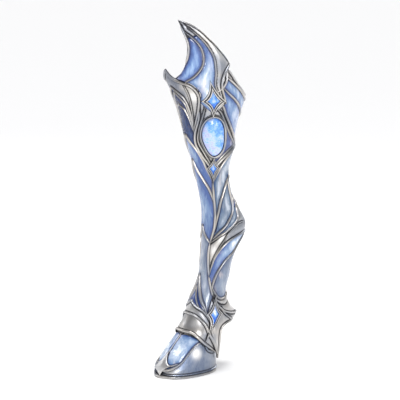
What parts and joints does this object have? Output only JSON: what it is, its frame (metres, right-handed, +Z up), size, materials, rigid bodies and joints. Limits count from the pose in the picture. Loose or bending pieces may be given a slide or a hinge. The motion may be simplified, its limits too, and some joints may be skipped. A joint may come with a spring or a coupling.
{
  "type": "greave",
  "caption": "Ornate silver and blue greave for a hoofed foreleg, with a tall side fin, a heel point, a flared fetlock and a hoof shell.",
  "frame": {"origin": "on the flat underside of the sole, under the middle of the leg", "axes": "+Z up the leg, -Y towards the toe, +X towards the decorated outer side"},
  "size_m": [0.1399, 0.2167, 0.748],
  "materials": {
    "steel": "polished and softly brushed, darkened in the grooves",
    "dark_steel": "satin",
    "blue_enamel": "glossy vitreous enamel, clouded",
    "deep_enamel": "glossy vitreous enamel",
    "pale_enamel": "glossy vitreous enamel, clouded",
    "gem": "polished moonstone-like stone"
  },
  "bodies": {
    "root": {"star_setting_upper": "steel", "star_stone_upper": "gem", "star_setting_middle": "steel", "star_stone_middle": "gem", "star_setting_lower": "steel", "star_stone_lower": "gem", "gem_bezel": "steel", "gem": "gem", "fin_plate": "steel", "prow_plate": "steel", "upper_front_plate": "steel", "shin_front_plate": "steel", "fetlock_collar": "steel", "cannon_front_plate": "steel", "upper_back_plate": "steel", "hock_plate": "steel", "shin_back_plate": "steel", "cannon_back_plate": "steel", "fetlock_cuff": "steel", "pastern_lame": "steel", "fin_inlay_front": "deep_enamel", "fin_inlay_back": "blue_enamel", "prow_inlay": "blue_enamel", "knee_inlay": "deep_enamel", "wing_inlay_high": "blue_enamel", "wing_inlay_low": "blue_enamel", "gem_side_inlay": "deep_enamel", "shin_chevron_inlay": "blue_enamel", "shin_front_inlay": "blue_enamel", "calf_inlay": "blue_enamel", "leaf_inlay_outer": "blue_enamel", "leaf_inlay_inner": "blue_enamel", "hock_crescent_inlay": "deep_enamel", "cannon_front_inlay": "pale_enamel", "pastern_sliver_inlay": "deep_enamel", "cannon_leaf_inlay_outer": "blue_enamel", "cannon_leaf_inlay_inner": "blue_enamel", "cannon_back_inlay": "pale_enamel", "hoof_toe_shell": "steel", "hoof_quarter_shell": "steel", "hoof_petal_outer": "blue_enamel", "hoof_petal_inner": "blue_enamel", "toe_ornament": "steel", "sole_plate": "dark_steel"}
  },
  "joints": []
}
